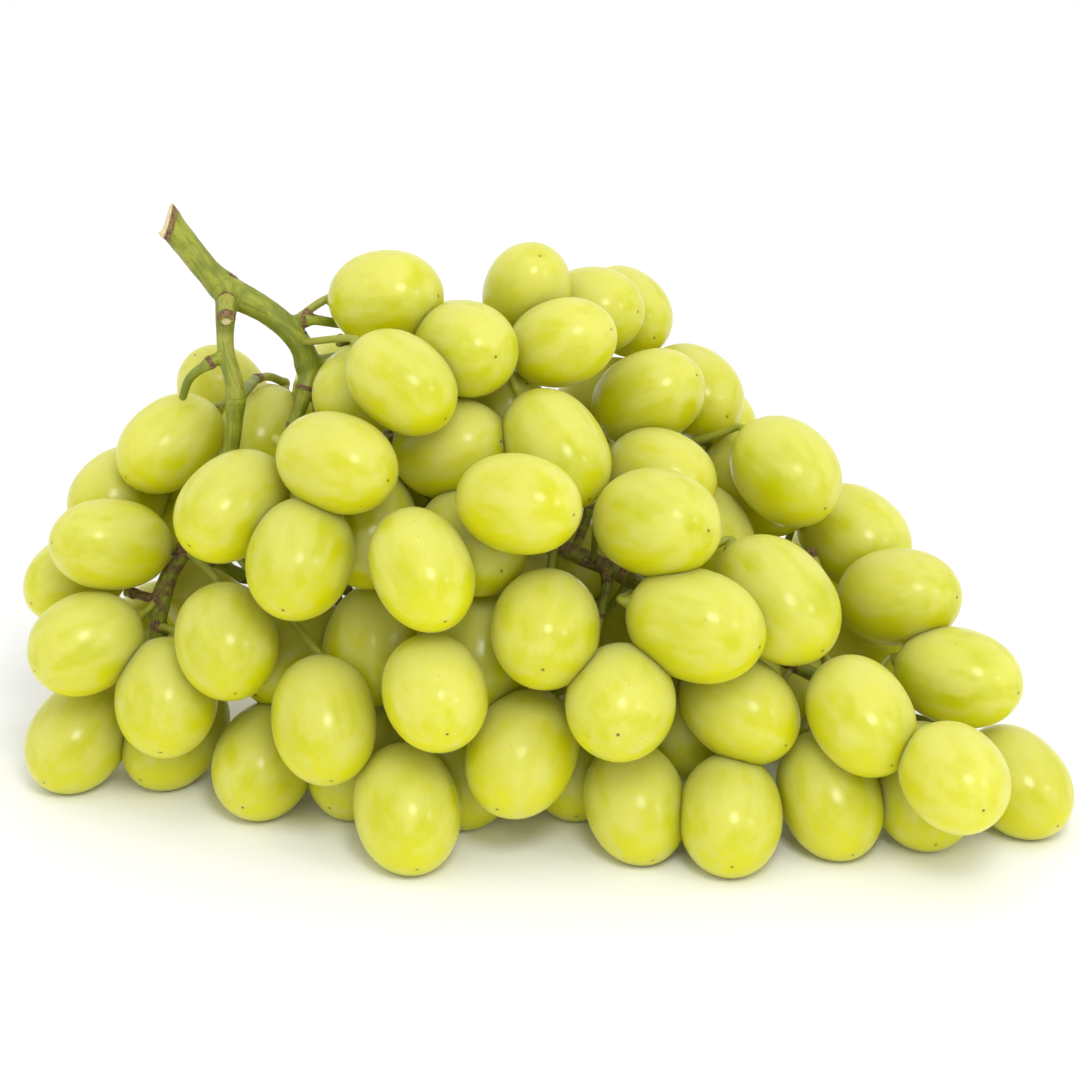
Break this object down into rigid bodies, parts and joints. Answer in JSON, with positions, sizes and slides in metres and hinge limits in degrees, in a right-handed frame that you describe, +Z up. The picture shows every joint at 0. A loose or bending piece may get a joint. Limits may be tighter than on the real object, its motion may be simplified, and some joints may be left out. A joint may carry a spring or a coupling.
{
  "type": "bunch of grapes",
  "caption": "Bunch of pale green oval table grapes lying on its side, with a forked green stalk cut off on the slant at its top left.",
  "frame": {"origin": "centre of the bunch's footprint, on the surface it lies on", "axes": "+X from the stalk end to the tail, +Y away from the viewer, +Z up"},
  "size_m": [0.2187, 0.128, 0.1193],
  "materials": {
    "grape_skin": "satin, waxy",
    "stalk": "matt, green"
  },
  "bodies": {
    "root": {"back_1_berries": "grape_skin", "back_2_berries": "grape_skin", "back_6_berries": "grape_skin", "back_8_berries": "grape_skin", "belt_berries": "grape_skin", "brow_berries": "grape_skin", "cheek_berries": "grape_skin", "collar_berries": "grape_skin", "crest_berries": "grape_skin", "flank_berries": "grape_skin", "foot_right_berries": "grape_skin", "heart_berries": "grape_skin", "hollow_berries": "grape_skin", "keel_berries": "grape_skin", "neck_berries": "grape_skin", "saddle_berries": "grape_skin", "stalk": "stalk", "tail_berries": "grape_skin", "wing_left_berries": "grape_skin", "wing_low_berries": "grape_skin"}
  },
  "joints": []
}
